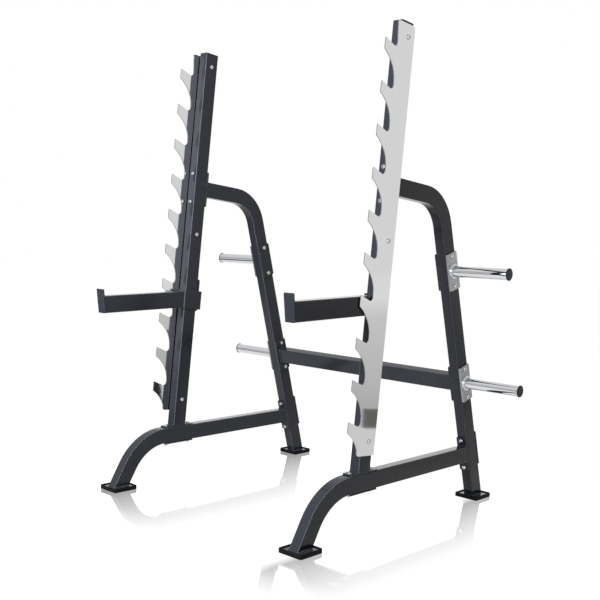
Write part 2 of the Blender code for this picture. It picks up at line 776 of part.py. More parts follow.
def box_outline(room, corner, cut, side):
    """A sleeve's section, its corner next to the hook plate's rear edge cut off behind the plate."""
    low, high, front, rear = room
    middle = ((low + high) / 2, (front + rear) / 2)
    outline = rounded_rectangle(high - low, rear - front, corner, middle)
    for step in range(CORNER_STEPS + 1):
        share = step / CORNER_STEPS
        outline[step] = (high - cut * share, rear - cut * COLLAR_CUT_SLOPE * (1 - share))
    return [(side * across, along) for across, along in outline]


def safety_arm(name, side, parent):
    """Arm tube, end stop and the sleeve round the upright, welded into one piece."""
    inside, outside = collar_room()
    ends = [at(z=-COLLAR_HEIGHT / 2), at(z=COLLAR_HEIGHT / 2)]
    inner = box_outline(inside, INSIDE_CORNER, inside_cut(), side)
    sleeve = solid(name, box_outline(outside, COLLAR_CORNER, COLLAR_CUT, side), ends, inner)
    forward = arm_frame().to_3x3() @ Vector((0.0, -1.0, 0.0))
    front_wall = Vector((0.0, outside[2] + COLLAR_WALL / 2, 0.0))
    root = intersect_line_plane(Vector(), forward, front_wall, Vector((0.0, 1.0, 0.0)))
    stop_normal = stop_frame().to_3x3() @ Vector((0.0, 1.0, 0.0))
    stop_middle = stop_frame() @ Vector((0.0, -STOP_PLATE / 2, 0.0))
    tip = intersect_line_plane(root, root + forward, stop_middle, stop_normal)
    stations = [
        mitred(station(root, forward), forward, Vector((0.0, 1.0, 0.0))),
        mitred(station(tip, forward), forward, stop_normal),
    ]
    tube = hollow_tube("tube", stations, depth=ARM_DEPTH)
    stop_outline = rounded_rectangle(TUBE_WIDTH, STOP_HEIGHT, PLATE_CORNER, (0.0, STOP_HEIGHT / 2))
    stop = slab("stop", stop_outline, -STOP_PLATE, 0.0, stop_frame() @ ALONG_Y)
    joined(sleeve, [tube, stop])
    drain_frame = arm_frame() @ at(y=DRAIN_FROM_STOP - ARM_REACH, z=-ARM_DEPTH / 2)
    drilled(sleeve, [rod("drain", DRAIN_RADIUS, -LIP, TUBE_WALL + LIP, drain_frame)])
    node(sleeve, name, POWDER_COAT, parent)


def bearing_pad(name, side, parent):
    """The pad between the upright's rear face and the sleeve, taller than the sleeve."""
    near = TUBE_DEPTH + COLLAR_RUN
    height = BEARING_BELOW + BEARING_ABOVE
    inner, outer = -TUBE_WIDTH / 2, TUBE_WIDTH / 2 + COLLAR_RUN - inside_cut() - GAP
    middle = (-side * (inner + outer) / 2, (BEARING_ABOVE - BEARING_BELOW) / 2)
    outline = rounded_rectangle(outer - inner, height, BEARING_CORNER, middle)
    pad = slab(name, outline, near, near + BEARING_PAD, ALONG_Y)
    node(pad, name, BLACK_PLASTIC, parent)


def side_fasteners(label, side, parent):
    far_nut = {
        "hook_plate_bolt": (hook_bolt_frames(side), False),
        "top_arm_bolt": (top_arm_bolt_frames(), True),
        "seat_bolt": (seat_bolt_frames(), True),
        "base_joint_bolt": (base_joint_bolt_frames(), True),
        "upper_horn_bolt": (horn_bolt_frames(side, "upper"), False),
        "lower_horn_bolt": (horn_bolt_frames(side, "lower"), True),
    }
    for kind, (frames, nut_end) in far_nut.items():
        spacer = (HOOK_PLATE, HOOK_PLATE + HOOK_STANDOFF) if kind == "hook_plate_bolt" else None
        for place, (frame, grip) in frames.items():
            fastener(f"{label}_{kind}_{place}", frame, grip, spacer, nut_end, parent)


def side_frame(label, side, rack):
    holder = empty(f"{label}_side", rack, at(x=side * FRAME_SPACING / 2))
    base_tube(f"{label}_base_tube", holder)
    rear_leg(f"{label}_rear_leg", side, holder)
    upright(f"{label}_upright", side, holder)
    upright_cap(f"{label}_upright_cap", holder)
    hook_plate(f"{label}_hook_plate", side, holder)
    seat_backing_plate(f"{label}_seat_backing_plate", holder)
    base_backing_plate(f"{label}_base_backing_plate", holder)
    horn_backing_plate(f"{label}_horn_backing_plate", side, holder)
    for which in ("front", "rear"):
        foot_pad(f"{label}_{which}_foot_pad", which, holder)
    for level in HORN_PLACES:
        horn(f"{label}_{level}_horn", side, level, holder)
        horn_cap(f"{label}_{level}_horn_cap", side, level, holder)
    side_fasteners(label, side, holder)
    slide = empty(f"{label}_arm_slide", holder, UPRIGHT_FRAME @ at(z=ARM_REST[label]))
    safety_arm(f"{label}_safety_arm", side, slide)
    bearing_pad(f"{label}_bearing_pad", side, slide)


def footprint_middle():
    """The middle of the rack's bounding box on the floor."""
    bpy.context.view_layer.update()
    corners = [
        thing.matrix_world @ vertex.co
        for thing in bpy.data.objects if thing.type == "MESH"
        for vertex in thing.data.vertices
    ]
    lows = [min(corner[axis] for corner in corners) for axis in range(3)]
    highs = [max(corner[axis] for corner in corners) for axis in range(2)]
    return Vector(((lows[0] + highs[0]) / 2, (lows[1] + highs[1]) / 2, lows[2]))


def main():
    clear_scene()
    rack = empty("rack", None, Matrix.Identity(4))
    for label, side in SIDES.items():
        side_frame(label, side, rack)
    crossbar("crossbar", rack)
    rack.location = -footprint_middle()


main()
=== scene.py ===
import math

import bpy
from mathutils import Matrix, Vector
from mathutils.geometry import intersect_line_plane


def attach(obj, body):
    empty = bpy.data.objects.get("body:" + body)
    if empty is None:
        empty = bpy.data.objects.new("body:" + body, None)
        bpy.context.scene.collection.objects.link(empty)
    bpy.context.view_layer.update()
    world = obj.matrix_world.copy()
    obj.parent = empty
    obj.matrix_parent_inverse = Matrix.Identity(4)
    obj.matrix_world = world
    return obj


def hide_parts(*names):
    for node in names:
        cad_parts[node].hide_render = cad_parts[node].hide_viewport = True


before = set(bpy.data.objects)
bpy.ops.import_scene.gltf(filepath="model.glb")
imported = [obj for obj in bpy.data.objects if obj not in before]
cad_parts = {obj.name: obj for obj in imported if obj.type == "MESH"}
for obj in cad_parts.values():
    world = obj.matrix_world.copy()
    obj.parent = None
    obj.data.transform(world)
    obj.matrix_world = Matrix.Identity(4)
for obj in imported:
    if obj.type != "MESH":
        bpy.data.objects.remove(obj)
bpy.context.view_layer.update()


# Powder-coated tubes and plates.
# Each side frame is a bent base tube, a bent rear leg and a leaning upright of 50 by 75 mm tube, bolted
# together at welded flanges. All are coated in one near-black, slightly blue powder. The rounded corners
# get a lighter colour, a painted highlight where lamp light would catch them.
COAT_DARK = (0.0072, 0.0082, 0.0110, 1.0)
COAT_LIGHT = (0.0106, 0.0118, 0.0154, 1.0)
COAT_CORNER_HIGHLIGHT = (0.036, 0.039, 0.046, 1.0)
COAT_EDGE = 0.0009
CREASE = math.radians(50)
SEAM = 0.00001
FLAT = math.radians(1)
COATED = [
    "base_tube", "rear_leg", "upright", "seat_backing_plate", "base_backing_plate", "horn_backing_plate",
]
SIDES = {"left": -1, "right": 1}


class Signal:
    """A number that varies over a surface. Sums and products with it add Math nodes."""

    def __init__(self, finish, socket):
        self.finish, self.socket = finish, socket

    def joined(self, operation, first, second):
        return self.finish.node("ShaderNodeMath", {"operation": operation}, {0: first, 1: second})

    def __add__(self, other):
        return self.joined("ADD", self, other)

    def __mul__(self, other):
        return self.joined("MULTIPLY", self, other)

    __radd__ = __add__
    __rmul__ = __mul__


class Finish:
    """One material, or the surround, and the nodes that make it."""

    def __init__(self, name, data=None):
        self.data = data or bpy.data.materials.new(name)
        self.data.use_nodes = True
        self.tree = self.data.node_tree

    def bare(self):
        """Take out the nodes that it came with."""
        for old in list(self.tree.nodes):
            self.tree.nodes.remove(old)
        return self

    def node(self, kind, settings=None, sockets=None, output=0):
        """A node with its settings made first, then its sockets, as the signal it gives out."""
        made = self.tree.nodes.new(kind)
        for key, value in (settings or {}).items():
            if key == "stops":
                for place, colour in value:
                    stop = made.color_ramp.elements.new(place)
                    stop.color = colour
                made.color_ramp.elements.remove(made.color_ramp.elements[0])
                made.color_ramp.elements.remove(made.color_ramp.elements[-1])
            else:
                setattr(made, key, value)
        for key, value in (sockets or {}).items():
            self.feed(made.inputs[key], value)
        return Signal(self, made.outputs[output]) if made.outputs else None

    def feed(self, socket, value):
        """Link a signal to a socket, or set a constant on it."""
        if isinstance(value, Signal):
            self.tree.links.new(value.socket, socket)
        else:
            socket.default_value = value

    def surface(self, **sockets):
        """Set the sockets of the material's own shader, spelt with underscores for spaces."""
        shader = self.tree.nodes["Principled BSDF"]
        for key, value in sockets.items():
            self.feed(shader.inputs[key.replace("_", " ")], value)

    def noise(self, scale, detail=2.0, roughness=0.5, stretch=(1.0, 1.0, 1.0), turn=(0.0, 0.0, 0.0)):
        """A grain with features about 1/scale metres long, drawn on the rack's own coordinates."""
        place = self.node("ShaderNodeTexCoord", output="Object")
        place = self.node("ShaderNodeMapping", {}, {"Vector": place, "Rotation": turn, "Scale": stretch})
        sockets = {"Vector": place, "Scale": scale, "Detail": detail, "Roughness": roughness}
        return self.node("ShaderNodeTexNoise", {}, sockets)

    def blend(self, factor, first, second):
        """A colour between two others."""
        sockets = {"Factor": factor, 6: first, 7: second}
        return self.node("ShaderNodeMix", {"data_type": "RGBA"}, sockets, output=2)

    def fade(self, value, *stops):
        """A grey that follows a value through (value, shade) stops."""
        greys = [(place, (shade, shade, shade, 1.0)) for place, shade in stops]
        return self.node("ShaderNodeValToRGB", {"stops": greys}, {0: value})

    def bump(self, height, distance):
        """A relief this many metres deep."""
        return self.node("ShaderNodeBump", {}, {"Height": height, "Distance": distance})

    def sideways(self, test, *limits):
        """1 where the amount that a surface faces along X passes a test, and 0 elsewhere."""
        facing = self.node("ShaderNodeTexCoord", output="Normal")
        facing = self.node("ShaderNodeSeparateXYZ", {}, {0: facing})
        facing = self.node("ShaderNodeMath", {"operation": "ABSOLUTE"}, {0: facing})
        return self.node("ShaderNodeMath", {"operation": test}, {0: facing, **dict(enumerate(limits, 1))})


def pick(thing):
    """Leave one object selected and active."""
    bpy.ops.object.select_all(action="DESELECT")
    thing.select_set(True)
    bpy.context.view_layer.objects.active = thing


def apply_step(thing, kind, **settings):
    """Put one modifier on an object and apply it."""
    step = thing.modifiers.new(kind, kind)
    for key, value in settings.items():
        setattr(step, key, value)
    pick(thing)
    bpy.ops.object.modifier_apply(modifier=step.name)


def round_edges(piece, width):
    """Round the sharp edges, and shade the rest smooth with the flats kept flat."""
    apply_step(piece, "BEVEL", width=width, segments=2, limit_method="ANGLE",
               angle_limit=CREASE, use_clamp_overlap=False)
    pick(piece)
    bpy.ops.object.shade_smooth_by_angle(angle=CREASE)
    apply_step(piece, "WEIGHTED_NORMAL", keep_sharp=True)


def rounded_copy(node, edge):
    """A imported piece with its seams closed, its flats made whole and its edges rounded."""
    piece = bpy.data.objects.new(f"{node}_finished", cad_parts[node].data.copy())
    bpy.context.collection.objects.link(piece)
    pick(piece)
    bpy.ops.object.mode_set(mode="EDIT")
    bpy.ops.mesh.select_all(action="SELECT")
    bpy.ops.mesh.remove_doubles(threshold=SEAM)
    bpy.ops.mesh.dissolve_limited(angle_limit=FLAT)
    bpy.ops.object.mode_set(mode="OBJECT")
    round_edges(piece, edge)
    return piece


def fit(piece, body, finish, slot, *nodes):
    """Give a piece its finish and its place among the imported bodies."""
    piece.data.materials.clear()
    piece.data.materials.append(finish.data)
    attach(piece, body)
    if nodes:
        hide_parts(*nodes)


coat = Finish("powder_coat")
drift = coat.noise(5.0, detail=3.0)
speckle = coat.noise(900.0, detail=1.0)
peel = coat.noise(520.0, detail=2.0, roughness=0.6)
sag = coat.noise(60.0, detail=1.0)
# Where a surface faces partly along X, as on the tubes' rounded corners, the coat turns lighter: a painted
# highlight.
corner = coat.sideways("COMPARE", 0.65, 0.27)
cover = coat.blend(drift * 0.7 + speckle * 0.3, COAT_DARK, COAT_LIGHT)
coat.surface(
    Base_Color=coat.blend(corner, cover, COAT_CORNER_HIGHLIGHT),
    Roughness=sag * 0.08 + 0.12,
    Normal=coat.bump(peel + sag * 2.0, 0.00003),
    Specular_IOR_Level=0.22,
)
for label in SIDES:
    for name in COATED:
        node = f"{label}_{name}"
        fit(rounded_copy(node, COAT_EDGE), "frame", coat, "powder_coat", node)
fit(rounded_copy("crossbar", COAT_EDGE), "frame", coat, "powder_coat", "crossbar")


# Weld beads under the coat.
# Every flange and foot plate is welded to its tube. A wide plate has a bead all the way round, and a
# flange as narrow as the tube has one above and one below.
FRAME_SPACING = 1.190
UPRIGHT_FRONT = -0.298155
UPRIGHT_LEAN = math.radians(5.04)
LEG_TILT = math.radians(16.08)
FRONT_LEG_TILT = math.radians(30.0)
FRONT_FOOT_Y = -0.292
REAR_FOOT_Y = 0.941
BASE_TOP = 0.262
TOP_ARM_HEIGHT = 1.452
CROSSBAR_PLACE = 0.5974
TUBE_WIDTH = 0.050
TUBE_DEPTH = 0.075
JOINT_PLATE = 0.008
THIN_PLATE = 0.006
GAP = 0.0003
PAD_FLOOR = 0.008
BEAD = 0.0024
TUBE_CORNER = 0.004
RIPPLE_LENGTH = 0.004
RIPPLE_HEIGHT = 0.0012
ACROSS_X = Matrix(((0, 0, 1, 0), (1, 0, 0, 0), (0, 1, 0, 0), (0, 0, 0, 1)))
ACROSS_Y = Matrix(((-1, 0, 0, 0), (0, 0, 1, 0), (0, 1, 0, 0), (0, 0, 0, 1)))
Y_AXIS = Vector((0.0, 1.0, 0.0))


def at(x=0.0, y=0.0, z=0.0):
    """A move to a place."""
    return Matrix.Translation((x, y, z))


def side_plane(side):
    """A side frame's centre plane, with the upright's front meeting the floor at its origin."""
    return at(side * FRAME_SPACING / 2, UPRIGHT_FRONT)


UPRIGHT_FRAME = Matrix.Rotation(-UPRIGHT_LEAN, 4, "X")
LEG_FRAME = at(y=REAR_FOOT_Y) @ Matrix.Rotation(LEG_TILT, 4, "X")


def select_edges(piece, wanted):
    """Go into edit mode with the edges selected whose two ends pass a test."""
    bpy.ops.object.mode_set(mode="EDIT")
    bpy.ops.mesh.select_mode(type="EDGE")
    bpy.ops.mesh.select_all(action="DESELECT")
    bpy.ops.object.mode_set(mode="OBJECT")
    for edge in piece.data.edges:
        first, second = (piece.data.vertices[index].co for index in edge.vertices)
        edge.select = wanted(first, second)
    bpy.ops.object.mode_set(mode="EDIT")


def weld_bead(name, width, depth, place, all_round):
    """A rippled bead on the outline of a tube's end, in the plane where it meets its plate."""
    bpy.ops.object.select_all(action="DESELECT")
    bpy.ops.mesh.primitive_plane_add(size=1.0)
    bead = bpy.context.object
    bead.name = name
    bead.scale = (width, depth, 1.0)
    bpy.ops.object.transform_apply(location=False, rotation=False, scale=True)
    bpy.ops.object.mode_set(mode="EDIT")
    bpy.ops.mesh.delete(type="ONLY_FACE")
    bpy.ops.object.mode_set(mode="OBJECT")
    if all_round:
        bpy.ops.object.mode_set(mode="EDIT")
        bpy.ops.mesh.select_all(action="SELECT")
        bpy.ops.mesh.bevel(offset=TUBE_CORNER, segments=3, affect="VERTICES")
        bpy.ops.mesh.subdivide(number_cuts=12)
        bpy.ops.object.mode_set(mode="OBJECT")
    else:
        select_edges(bead, lambda first, second: abs(first.y - second.y) > BEAD)
        bpy.ops.mesh.delete(type="EDGE")
        bpy.ops.mesh.select_all(action="SELECT")
        bpy.ops.mesh.subdivide(number_cuts=24)
        bpy.ops.mesh.select_mode(type="VERT")
        bpy.ops.object.mode_set(mode="OBJECT")
    pick(bead)
    bpy.ops.object.convert(target="CURVE")
    bead.data.bevel_depth = BEAD
    bead.data.bevel_resolution = 2
    bead.data.use_fill_caps = True
    bpy.ops.object.convert(target="MESH")
    ripple = bpy.data.textures.new("weld_ripple", "CLOUDS")
    ripple.noise_scale = RIPPLE_LENGTH
    apply_step(bead, "DISPLACE", texture=ripple, strength=RIPPLE_HEIGHT, mid_level=0.5)
    bpy.ops.object.shade_smooth()
    bead.data.transform(place)
    fit(bead, "frame", coat, "powder_coat")


plate_top = PAD_FLOOR + GAP + THIN_PLATE
seat_top = BASE_TOP + GAP + THIN_PLATE
seat_lift = (seat_top + TUBE_DEPTH / 2 * math.sin(UPRIGHT_LEAN)) / math.cos(UPRIGHT_LEAN)
seat_middle = UPRIGHT_FRAME @ Vector((0.0, TUBE_DEPTH / 2, seat_lift))
leg_normal = LEG_FRAME.to_3x3() @ Y_AXIS
flange_face = LEG_FRAME @ Vector((0.0, -(TUBE_DEPTH / 2 + GAP + JOINT_PLATE), 0.0))
base_middle = Vector((0.0, 0.0, BASE_TOP - TUBE_DEPTH / 2))
base_end = intersect_line_plane(base_middle, base_middle + Y_AXIS, flange_face, leg_normal)
base_place = LEG_FRAME.inverted() @ base_end
front_cut = TUBE_DEPTH / math.cos(FRONT_LEG_TILT)
rear_cut = TUBE_DEPTH / math.cos(LEG_TILT)
seat_cut = TUBE_DEPTH / math.cos(UPRIGHT_LEAN)
between_corners = TUBE_WIDTH - 2 * BEAD
for label, side in SIDES.items():
    stand = side_plane(side)
    foot = stand @ at(y=FRONT_FOOT_Y + plate_top * math.tan(FRONT_LEG_TILT), z=plate_top)
    weld_bead(f"{label}_front_foot_weld", TUBE_WIDTH, front_cut, foot, True)
    foot = stand @ at(y=REAR_FOOT_Y - plate_top * math.tan(LEG_TILT), z=plate_top)
    weld_bead(f"{label}_rear_foot_weld", TUBE_WIDTH, rear_cut, foot, True)
    seat = stand @ at(y=seat_middle.y, z=seat_top)
    weld_bead(f"{label}_seat_weld", between_corners, seat_cut, seat, False)
    top_arm = stand @ UPRIGHT_FRAME @ at(y=TUBE_DEPTH + GAP + JOINT_PLATE, z=TOP_ARM_HEIGHT) @ ACROSS_Y
    weld_bead(f"{label}_top_arm_weld", between_corners, TUBE_DEPTH, top_arm, False)
    flange = stand @ LEG_FRAME @ at(y=base_place.y, z=base_place.z) @ ACROSS_Y
    weld_bead(f"{label}_base_weld", between_corners, rear_cut, flange, False)
    flange_x = side * (FRAME_SPACING / 2 - TUBE_WIDTH / 2 - GAP - JOINT_PLATE)
    bar_end = at(flange_x, UPRIGHT_FRONT) @ LEG_FRAME @ at(z=CROSSBAR_PLACE) @ ACROSS_X
    weld_bead(f"{label}_crossbar_weld", TUBE_WIDTH, TUBE_DEPTH, bar_end, True)


# Toothed hook plates.
# Laser-cut stainless plate, 4.5 mm thick and polished almost to a mirror, with a faint upright grain
# from the belt and duller cut edges. Three bolts hold each off its upright.
STEEL = (0.690, 0.690, 0.690, 1.0)
STEEL_CLOUDED = (0.640, 0.642, 0.645, 1.0)
CUT_STEEL = (0.36, 0.36, 0.365, 1.0)
HOOK_EDGE = 0.0007

polished = Finish("polished_steel")
grain = polished.noise(60.0, detail=4.0, roughness=0.65,
                       stretch=(14.0, 14.0, 0.35), turn=(UPRIGHT_LEAN, 0.0, 0.0))
cloud = polished.noise(9.0, detail=3.0)
cut_edge = polished.sideways("LESS_THAN", 0.97)
bright = polished.blend(cloud * 0.7 + grain * 0.3, STEEL_CLOUDED, STEEL)
polished.surface(
    Base_Color=polished.blend(cut_edge, bright, CUT_STEEL),
    Metallic=1.0,
    Roughness=grain * 0.03 + cloud * 0.02 + 0.02 + cut_edge * 0.35,
    Normal=polished.bump(grain + cloud * 3.0, 0.000006),
)
for label in SIDES:
    node = f"{label}_hook_plate"
    fit(rounded_copy(node, HOOK_EDGE), "frame", polished, "stainless_plate", node)


# Plate horns.
# Each is a 50 mm chromed tube with a turned root ring, welded to a bright plate that two bolts hold to
# the rear leg. A black plastic cap closes its end.
HORN_PLACES = {"upper": 1.1365, "lower": CROSSBAR_PLACE}
HORN_RADIUS = 0.025
HORN_REACH = 0.283
HORN_CAP = 0.004
CAP_RADIUS = 0.027
PLATE_WIDTH = 0.075
PLATE_LENGTH = 0.170
CHROME = (0.66, 0.665, 0.675, 1.0)
PLATED = (0.27, 0.275, 0.28, 1.0)
PLATED_LIGHT = (0.38, 0.385, 0.39, 1.0)
PLASTIC = (0.007, 0.007, 0.008, 1.0)
PLASTIC_LIGHT = (0.012, 0.012, 0.0135, 1.0)
PLATE_CORNER = 0.004
PLATE_EDGE = 0.0008
SMOOTH_TURNING = math.radians(40)
HORN_SIDES = 96
HORN_FACE = TUBE_WIDTH / 2 + GAP + JOINT_PLATE
HORN_ROOT = -JOINT_PLATE / 2
HORN_END = HORN_REACH - HORN_CAP - GAP
CAP_BACK = HORN_REACH - HORN_CAP
TUBE_RINGS = [
    (HORN_ROOT, HORN_RADIUS), (0.02, HORN_RADIUS), (HORN_END - 0.0008, HORN_RADIUS),
    (HORN_END, HORN_RADIUS - 0.0008),
]
ROOT_RINGS = [
    (HORN_ROOT, 0.0340), (0.0036, 0.0340), (0.0046, 0.0335), (0.0050, 0.0325), (0.0046, 0.0315),
    (0.0032, 0.0303), (0.0016, 0.0290), (0.0014, 0.0262), (0.0030, 0.0245),
]
CAP_RINGS = [
    (HORN_REACH, 0.0180), (HORN_REACH - 0.0003, 0.0245), (HORN_REACH - 0.0010, 0.0263),
    (HORN_REACH - 0.0020, CAP_RADIUS), (CAP_BACK + 0.0005, CAP_RADIUS), (CAP_BACK, 0.0264),
    (CAP_BACK, 0.0222), (HORN_REACH - 0.022, 0.0220),
]


def turned(name, rings, sides):
    """A turned piece, drawn by carrying a disc from each (height, radius) ring to the next."""
    height, radius = rings[0]
    bpy.ops.object.select_all(action="DESELECT")
    bpy.ops.mesh.primitive_circle_add(
        vertices=sides, radius=radius, fill_type="NGON", location=(0, 0, height))
    piece = bpy.context.object
    piece.name = name
    bpy.ops.object.transform_apply(location=True)
    bpy.ops.object.mode_set(mode="EDIT")
    bpy.ops.mesh.select_all(action="SELECT")
    for next_height, next_radius in rings[1:]:
        bpy.ops.mesh.extrude_region_move(TRANSFORM_OT_translate={"value": (0, 0, next_height - height)})
        bpy.ops.transform.resize(value=(next_radius / radius, next_radius / radius, 1.0))
        height, radius = next_height, next_radius
    bpy.ops.mesh.select_all(action="SELECT")
    bpy.ops.mesh.normals_make_consistent(inside=False)
    bpy.ops.object.mode_set(mode="OBJECT")
    return piece


def join(pieces, name):
    """Make several meshes one object."""
    bpy.ops.object.select_all(action="DESELECT")
    for piece in pieces:
        piece.select_set(True)
    bpy.context.view_layer.objects.active = pieces[0]
    bpy.ops.object.join()
    pieces[0].name = name
    return pieces[0]


def rounded_plate(name, width, length, thickness, corner, edge):
    """A plate standing on the XY plane, with rounded corners and eased edges."""
    bpy.ops.object.select_all(action="DESELECT")
    bpy.ops.mesh.primitive_cube_add(
        size=1.0, location=(0, 0, thickness / 2), scale=(width, length, thickness))
    piece = bpy.context.object
    piece.name = name
    bpy.ops.object.transform_apply(location=True, scale=True)
    select_edges(piece, lambda first, second: abs(first.z - second.z) > thickness / 2)
    bpy.ops.mesh.bevel(offset=corner, segments=5)
    bpy.ops.mesh.select_mode(type="VERT")
    bpy.ops.object.mode_set(mode="OBJECT")
    round_edges(piece, edge)
    return piece


chrome = Finish("chrome")
haze = chrome.noise(30.0, detail=3.0)
chrome.surface(
    Base_Color=CHROME,
    Metallic=1.0,
    Roughness=haze * 0.05 + 0.035,
    Normal=chrome.bump(haze, 0.00005),
)
plated = Finish("plated_plate")
plated_grain = plated.noise(220.0, detail=3.0)
plated_cloud = plated.noise(25.0, detail=2.0)
plated.surface(
    Base_Color=plated.blend(plated_cloud, PLATED, PLATED_LIGHT),
    Metallic=1.0,
    Roughness=plated_grain * 0.10 + 0.27,
    Normal=plated.bump(plated_grain + plated_cloud * 2.0, 0.00006),
)
plastic = Finish("black_plastic")
texture = plastic.noise(1400.0, detail=1.0)
plastic.surface(
    Base_Color=plastic.blend(plastic.noise(40.0), PLASTIC, PLASTIC_LIGHT),
    Roughness=texture * 0.15 + 0.33,
    Specular_IOR_Level=0.20,
    Normal=plastic.bump(texture, 0.00005),
)
for label, side in SIDES.items():
    for level, height in HORN_PLACES.items():
        name = f"{label}_{level}_horn"
        tube = turned(f"{name}_tube", TUBE_RINGS, HORN_SIDES)
        ring = turned(f"{name}_ring", ROOT_RINGS, HORN_SIDES)
        for turned_piece in (tube, ring):
            pick(turned_piece)
            bpy.ops.object.shade_smooth_by_angle(angle=SMOOTH_TURNING)
        plate = rounded_plate(
            f"{name}_plate", PLATE_WIDTH, PLATE_LENGTH, JOINT_PLATE, PLATE_CORNER, PLATE_EDGE)
        plate.data.transform(at(z=-JOINT_PLATE))
        tube.data.materials.append(chrome.data)
        ring.data.materials.append(chrome.data)
        plate.data.materials.append(plated.data)
        whole = join([tube, ring, plate], f"{name}_finished")
        place = side_plane(side) @ LEG_FRAME @ at(x=side * HORN_FACE, z=height) @ ACROSS_X
        if side < 0:
            place = place @ Matrix.Rotation(math.pi, 4, "X")
        whole.data.transform(place)
        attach(whole, "frame")
        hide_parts(name)
        cap = turned(f"{name}_cap_finished", CAP_RINGS, HORN_SIDES)
        pick(cap)
        bpy.ops.object.shade_smooth_by_angle(angle=SMOOTH_TURNING)
        cap.data.transform(place)
        fit(cap, "frame", plastic, "black_plastic", f"{name}_cap")


# Fasteners.
# Zinc-plated M10 button-headed socket screws. Most end in a nut on a backing plate, and those of the
# hook plates and the upper horns in a second button head.
BUTTON_RADIUS = 0.0100
SHANK_RADIUS = 0.0050
BUTTON_TOP = 0.0058
NUT_HEIGHT = 0.008
NUT_CORNER = 0.0085 / math.cos(math.pi / 6)
BOLT_SPACING = 0.138
HOOK_PLATE = 0.0045
HOOK_STANDOFF = 0.0038
HOOK_BOLTS = {"upper": 2.047, "middle": 1.2245, "lower": 0.402}
SEAT_SHIFT = 0.003
ZINC = (0.42, 0.43, 0.44, 1.0)
ZINC_LIGHT = (0.60, 0.605, 0.61, 1.0)
SMOOTH_HEAD = math.radians(30)
SOCKET_CORNER = 0.00346
HEAD_SIDES = 36
THREAD_SIDES = 24

zinc = Finish("zinc_plate")
tarnish = zinc.noise(120.0, detail=3.0)
zinc.surface(
    Base_Color=zinc.blend(tarnish, ZINC, ZINC_LIGHT),
    Metallic=1.0,
    Roughness=tarnish * 0.12 + 0.24,
    Normal=zinc.bump(tarnish, 0.00004),
)


def cut(piece, cutter, operation):
    """Shape a piece with another mesh, which is used up."""
    apply_step(piece, "BOOLEAN", object=cutter, operation=operation, solver="EXACT")
    bpy.data.objects.remove(cutter, do_unlink=True)


def button_head(name):
    """A domed head on z = 0 with a hexagon socket, and a short stub of its shank."""
    rings = [(BUTTON_TOP, 0.0044)]
    for step in range(1, 7):
        swing = step / 6 * math.pi / 2
        rings.append((0.0014 + 0.0044 * math.cos(swing), 0.0044 + 0.0056 * math.sin(swing)))
    rings += [
        (0.0007, BUTTON_RADIUS), (GAP, BUTTON_RADIUS - 0.0004), (GAP, SHANK_RADIUS), (-0.002, SHANK_RADIUS),
    ]
    head = turned(name, rings, HEAD_SIDES)
    socket = turned("socket", [
        (BUTTON_TOP + 0.001, SOCKET_CORNER), (0.0026, SOCKET_CORNER), (0.0018, 0.0010),
    ], 6)
    cut(head, socket, "DIFFERENCE")
    pick(head)
    bpy.ops.object.shade_smooth_by_angle(angle=SMOOTH_HEAD)
    return head


def nut(name):
    """A chamfered hexagon nut below z = 0, with the bolt's threaded end standing out of it."""
    body = turned(name, [(-GAP, NUT_CORNER), (-GAP - NUT_HEIGHT, NUT_CORNER)], 6)
    crown = turned("crown", [
        (0.001 - GAP, 0.0078), (-0.0007, NUT_CORNER - 0.0004), (-0.0016, NUT_CORNER + 0.0003),
        (-NUT_HEIGHT + 0.0012, NUT_CORNER + 0.0003), (-NUT_HEIGHT, 0.0090), (-NUT_HEIGHT - 0.001, 0.0072),
    ], HEAD_SIDES)
    cut(body, crown, "INTERSECT")
    thread = [(0.0, SHANK_RADIUS)]
    for turn in range(3):
        start = -NUT_HEIGHT - 0.0002 - turn * 0.0010
        thread += [(start, 0.0043), (start - 0.0005, SHANK_RADIUS)]
    thread.append((-NUT_HEIGHT - 0.0033, 0.0042))
    end = turned("end", thread, THREAD_SIDES)
    whole = join([body, end], name)
    pick(whole)
    bpy.ops.object.shade_smooth_by_angle(angle=SMOOTH_HEAD)
    return whole


def make_fastener(name, grip, far_nut, spacer):
    """A whole fastener along -Z, from the face that its head bears on."""
    head = button_head(name)
    shank = turned("shank", [(-0.001, SHANK_RADIUS), (-grip, SHANK_RADIUS)], THREAD_SIDES)
    if far_nut:
        far = nut("far")
        far.data.transform(at(z=-grip))
    else:
        far = button_head("far")
        far.data.transform(at(z=-grip) @ Matrix.Rotation(math.pi, 4, "X"))
    parts = [head, shank, far]
    if spacer:
        parts.append(turned("spacer", [
            (-HOOK_PLATE - GAP, 0.0096), (-HOOK_PLATE - 0.0006, BUTTON_RADIUS),
            (-HOOK_PLATE - HOOK_STANDOFF + 0.0006, BUTTON_RADIUS),
            (-HOOK_PLATE - HOOK_STANDOFF + GAP, 0.0096),
        ], HEAD_SIDES))
    return join(parts, name)


def facing(direction):
    """The turn that points a head along a direction."""
    return Vector((0.0, 0.0, 1.0)).rotation_difference(Vector(direction)).to_matrix().to_4x4()


